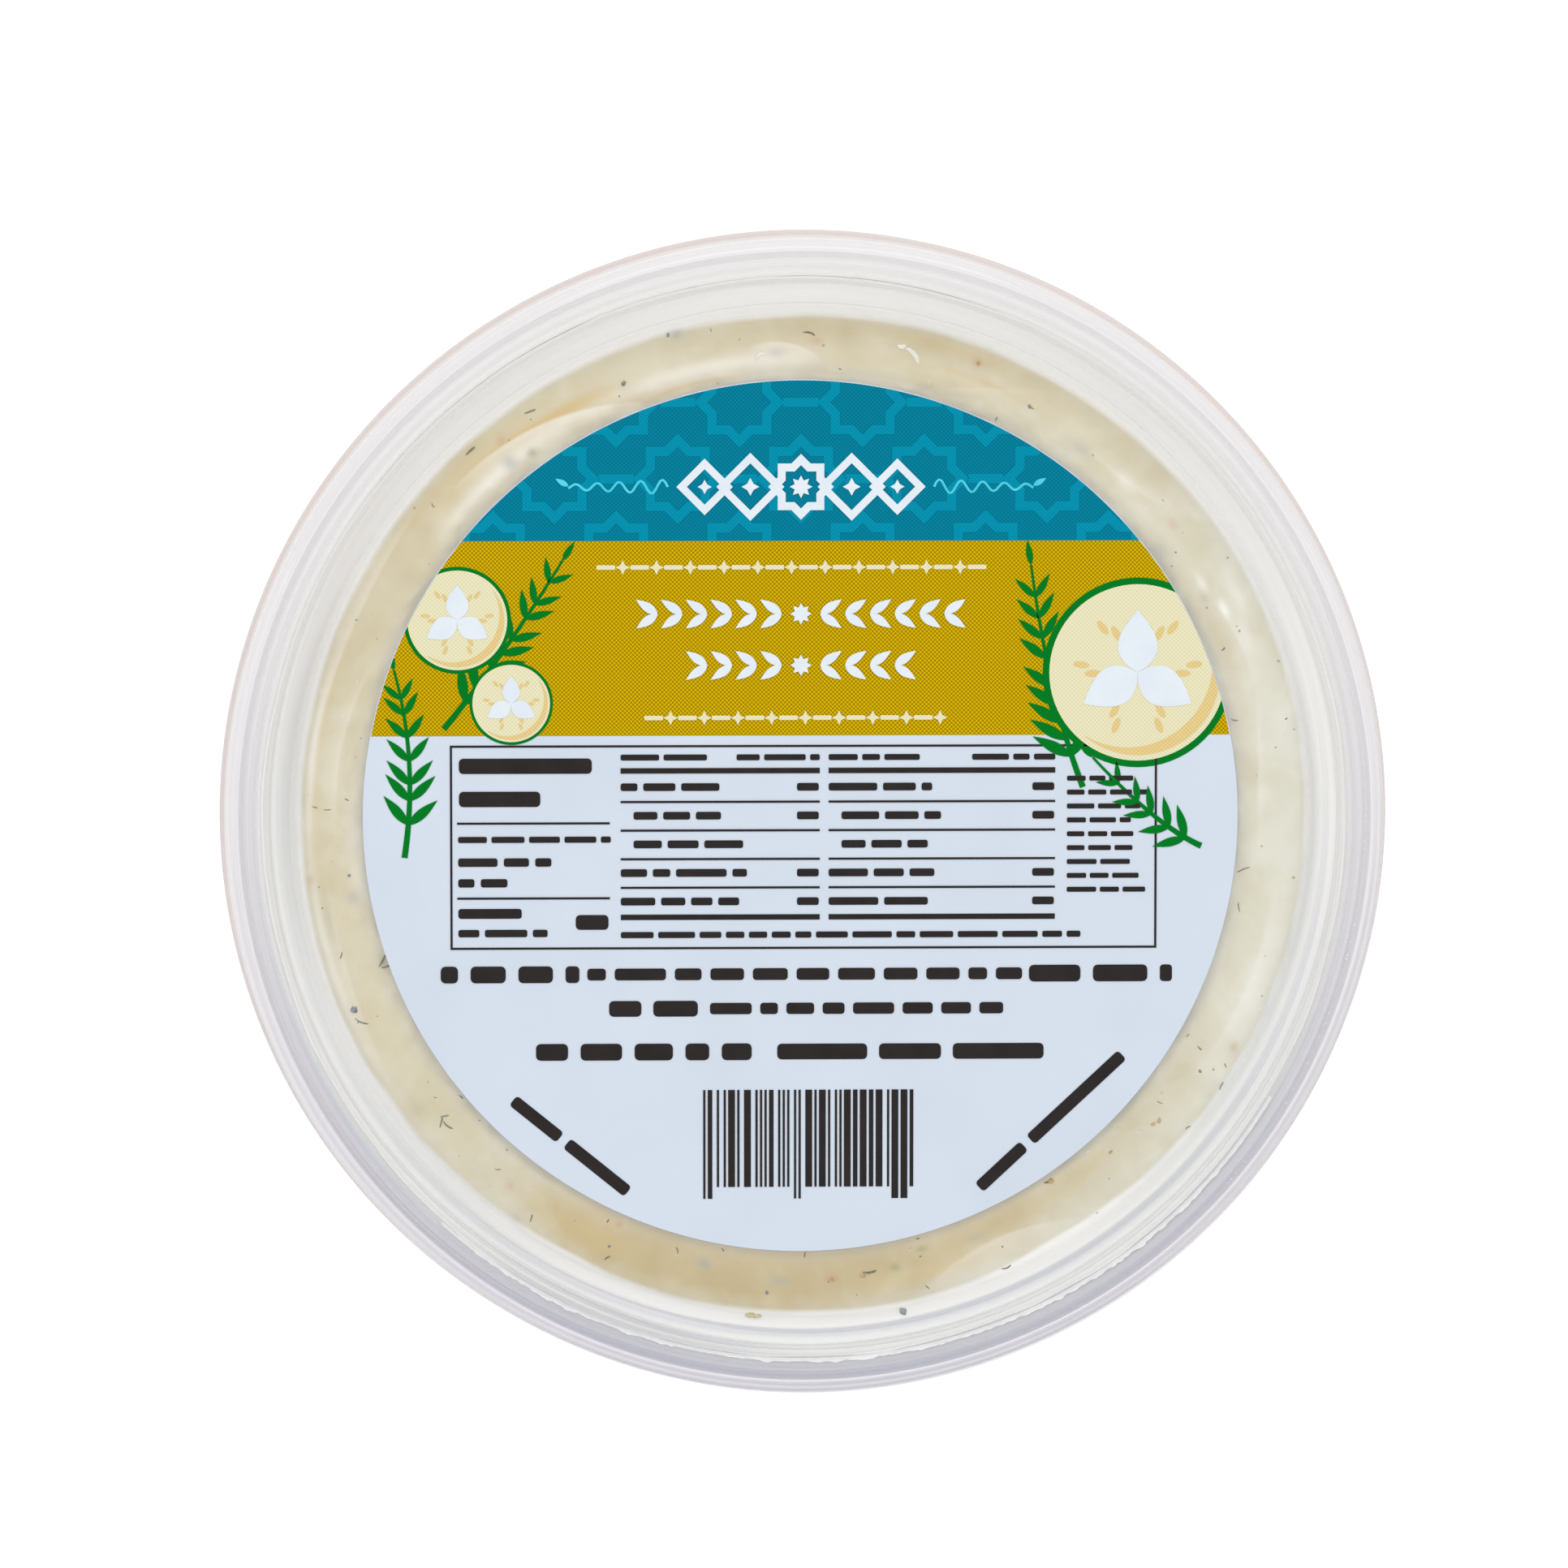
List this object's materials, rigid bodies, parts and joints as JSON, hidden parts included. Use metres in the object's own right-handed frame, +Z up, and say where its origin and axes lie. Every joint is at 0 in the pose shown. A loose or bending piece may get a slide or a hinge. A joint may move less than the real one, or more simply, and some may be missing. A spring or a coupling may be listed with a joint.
{
  "type": "dill garlic yogurt dip tub",
  "caption": "Round clear deli tub of thick dill and garlic yogurt dip, closed with a push-on recessed lid that carries a round label.",
  "frame": {"origin": "middle of the foot ring that the tub stands on", "axes": "+Z up along the tub's axis, +Y towards the top of the round label, +X to the label's right"},
  "size_m": [0.1184, 0.1184, 0.0381],
  "materials": {
    "tub": "clear injection-moulded polypropylene with a slight milky haze",
    "lid": "clear moulded polypropylene with a slight milky haze and a smooth gloss",
    "dip": "moist strained yogurt with a soft sheen",
    "label": "coated paper printed in teal, mustard and cream"
  },
  "bodies": {
    "root": {"tub": "tub", "dip": "dip", "lid": "lid", "label": "label"}
  },
  "joints": []
}
